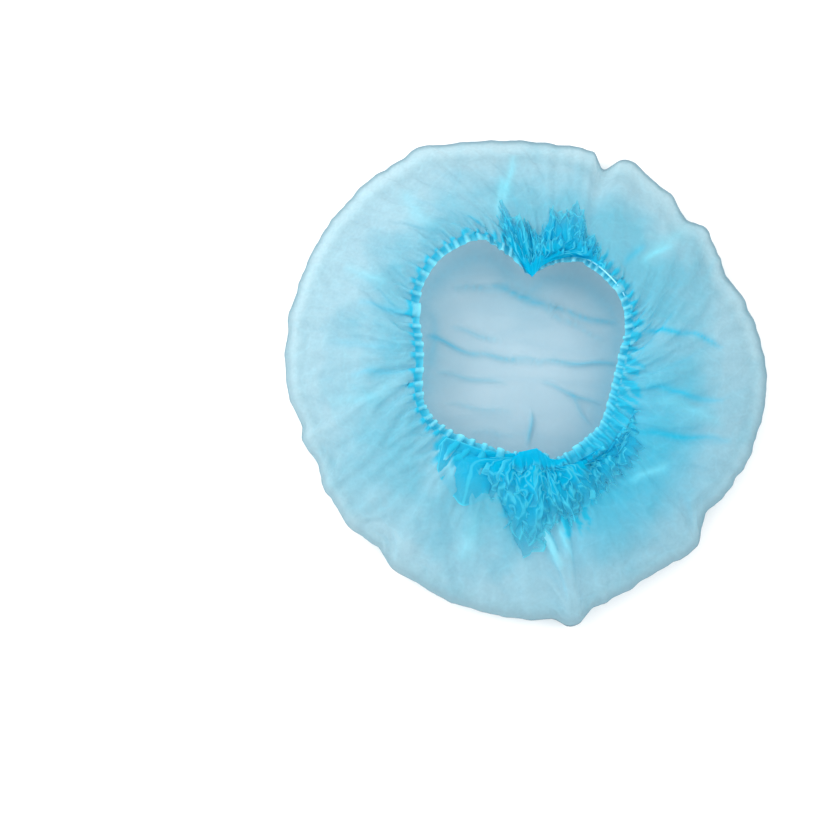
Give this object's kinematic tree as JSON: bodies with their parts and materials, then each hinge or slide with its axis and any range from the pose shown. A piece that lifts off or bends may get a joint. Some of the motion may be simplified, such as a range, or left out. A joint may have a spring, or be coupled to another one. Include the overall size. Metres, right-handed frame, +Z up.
{
  "type": "disposable hairnet",
  "caption": "Pleated disposable hairnet of light non-woven cloth, lying open with its gathered head opening up, puffed brim, flat crown and two elastic threads.",
  "frame": {"origin": "middle of the cap's outline on the surface that the crown lies on", "axes": "+Z up out of the head opening, +Y towards the back bonded end, +X to the right"},
  "size_m": [0.2994, 0.3098, 0.0477],
  "materials": {
    "nonwoven_cloth": "matte",
    "bonded_pleats": "matte",
    "elastic_thread": "satin"
  },
  "bodies": {
    "root": {"cap_sheet": "nonwoven_cloth", "elastic_left": "elastic_thread", "elastic_right": "elastic_thread", "bonded_end_back": "bonded_pleats", "bonded_end_front": "bonded_pleats"}
  },
  "joints": []
}
